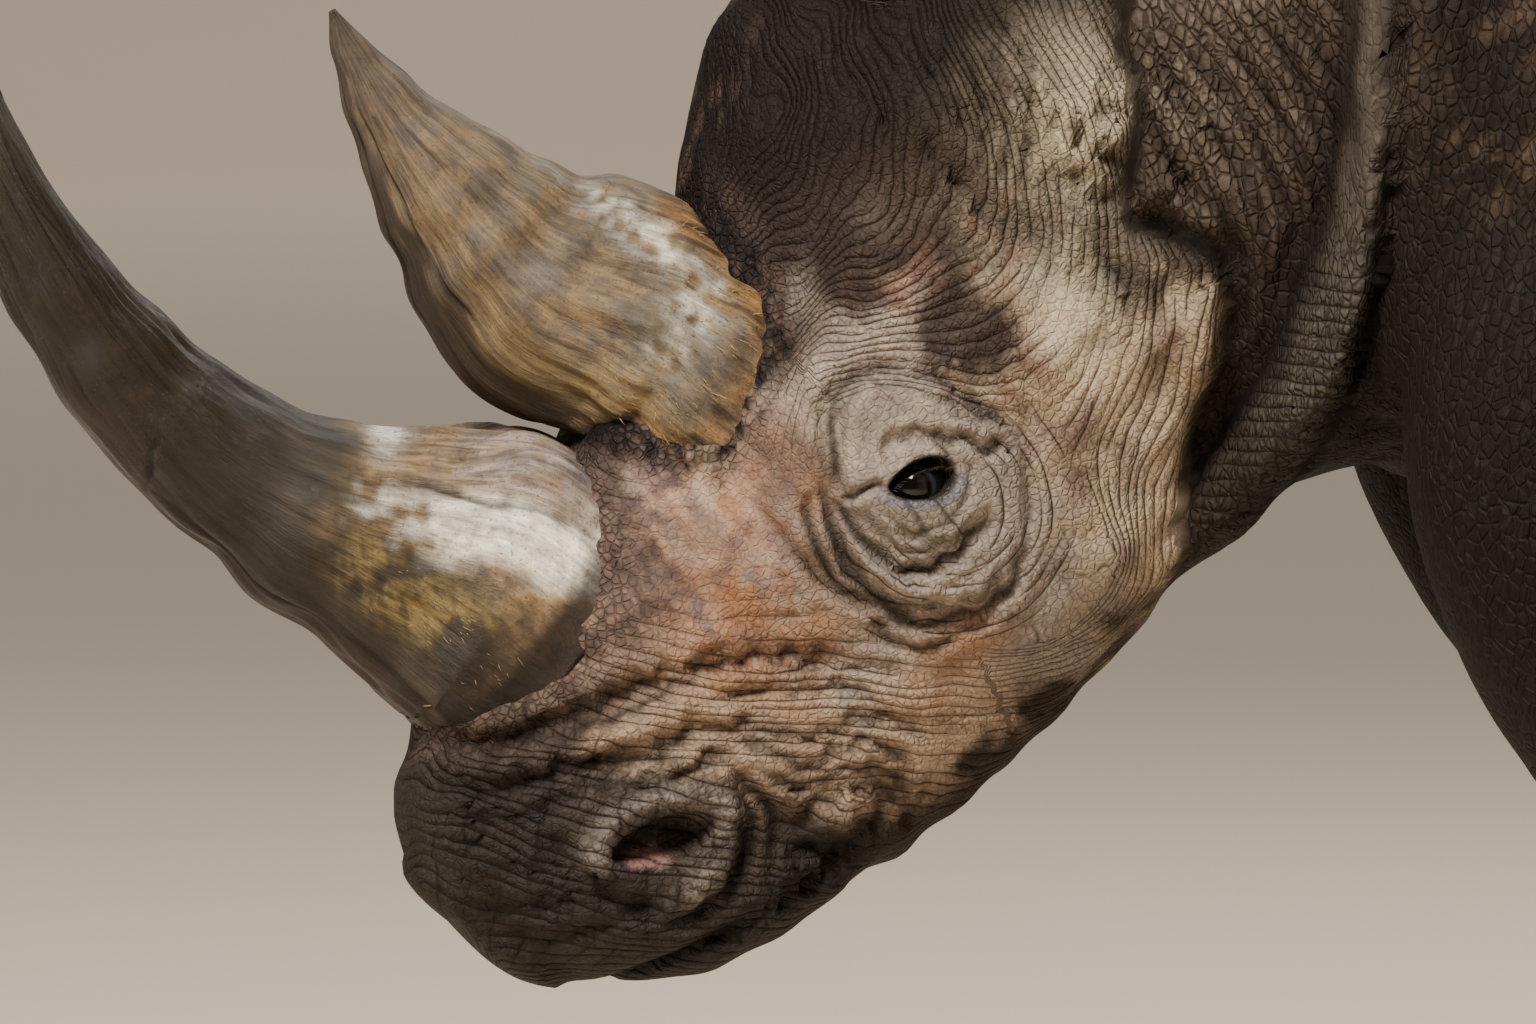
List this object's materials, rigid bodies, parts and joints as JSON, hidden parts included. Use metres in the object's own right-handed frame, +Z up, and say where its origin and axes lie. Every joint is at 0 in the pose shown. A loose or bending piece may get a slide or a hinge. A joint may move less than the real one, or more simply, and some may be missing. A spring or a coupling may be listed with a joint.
{
  "type": "black rhinoceros",
  "caption": "Life-size standing black rhinoceros with lowered, slightly turned head, long curved front horn, shorter rear horn and tufted tail; a still display model",
  "frame": {"origin": "on the ground, at the middle of the animal's length and breadth", "axes": "+X points from the nose to the tail, +Y to the animal's right and +Z up; the animal faces -X"},
  "size_m": [3.0128, 0.8044, 1.4973],
  "materials": {
    "hide": "matte",
    "horn": "satin",
    "eye": "gloss",
    "nail": "matte"
  },
  "bodies": {
    "root": {"head": "hide", "neck": "hide", "torso": "hide", "tail": "hide", "foreleg_left": "hide", "foreleg_right": "hide", "hindleg_left": "hide", "hindleg_right": "hide", "ear_left": "hide", "ear_right": "hide", "horn_front": "horn", "horn_rear": "horn", "eye_left": "eye", "eye_right": "eye", "forefoot_left_nail_inner": "nail", "forefoot_left_nail_middle": "nail", "forefoot_left_nail_outer": "nail", "forefoot_right_nail_inner": "nail", "forefoot_right_nail_middle": "nail", "forefoot_right_nail_outer": "nail", "hindfoot_left_nail_inner": "nail", "hindfoot_left_nail_middle": "nail", "hindfoot_left_nail_outer": "nail", "hindfoot_right_nail_inner": "nail", "hindfoot_right_nail_middle": "nail", "hindfoot_right_nail_outer": "nail"}
  },
  "joints": []
}
